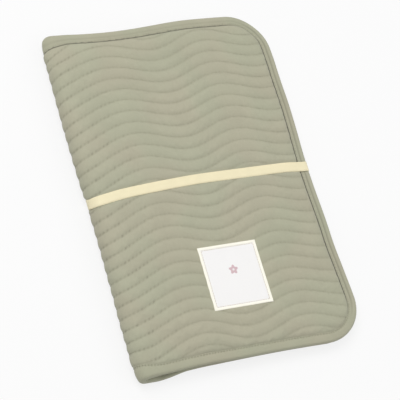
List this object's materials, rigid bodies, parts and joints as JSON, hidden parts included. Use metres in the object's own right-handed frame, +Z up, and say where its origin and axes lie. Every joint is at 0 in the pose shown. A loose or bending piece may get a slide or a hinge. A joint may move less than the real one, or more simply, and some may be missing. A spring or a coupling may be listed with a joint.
{
  "type": "changing pad",
  "caption": "Quilted travel changing pad folded in half like a book, with a binding tape round its edge, a woven label and an elastic band that holds it shut.",
  "frame": {"origin": "under the middle of the folded pad, on the surface that it lies on", "axes": "+X from the fold to the free edge, +Y along the fold away from the label, +Z up through the folded pad"},
  "size_m": [0.243, 0.35, 0.0225],
  "materials": {
    "cover": "sage beige cotton jersey quilted in wavy channels",
    "binding": "sage beige cotton jersey binding tape",
    "wadding": "white polyester wadding",
    "lining": "ecru wipe-clean coated cotton",
    "thread": "sage polyester sewing thread",
    "elastic": "cream ribbed woven elastic",
    "label": "off-white satin woven label",
    "label_edge": "cream woven border"
  },
  "bodies": {
    "back_panel": {"back_cover": "cover", "back_wadding": "wadding", "back_lining": "lining", "back_binding": "binding", "back_binding_thread": "thread"},
    "spine": {"spine_cover": "cover", "spine_wadding": "wadding", "spine_lining": "lining", "spine_binding": "binding", "spine_binding_thread": "thread"},
    "front_panel": {"front_cover": "cover", "front_wadding": "wadding", "front_lining": "lining", "front_binding": "binding", "front_binding_thread": "thread", "label_face": "label", "label_border": "label_edge", "label_thread": "thread"},
    "elastic": {"elastic_band": "elastic", "elastic_lap": "elastic", "elastic_stitching": "thread"}
  },
  "joints": [
    {"name": "spine_fold", "type": "hinge", "parent": "back_panel", "child": "spine", "pos_m": [-0.11886, 0, 0.00264], "axis": [0, -1, 0], "range_deg": [0, 90]},
    {"name": "front_fold", "type": "hinge", "parent": "spine", "child": "front_panel", "pos_m": [-0.11886, 0, 0.01986], "axis": [0, -1, 0], "range_deg": [0, 91]},
    {"name": "band_slide", "type": "slide", "parent": "back_panel", "child": "elastic", "axis": [0, 1, 0], "range_m": [0, 0.19], "deforming": ["elastic_band", "elastic_lap", "elastic_stitching"]}
  ],
  "couplings": [
    {"joint": "front_fold", "follows": "spine_fold", "ratio": 1.0106}
  ]
}
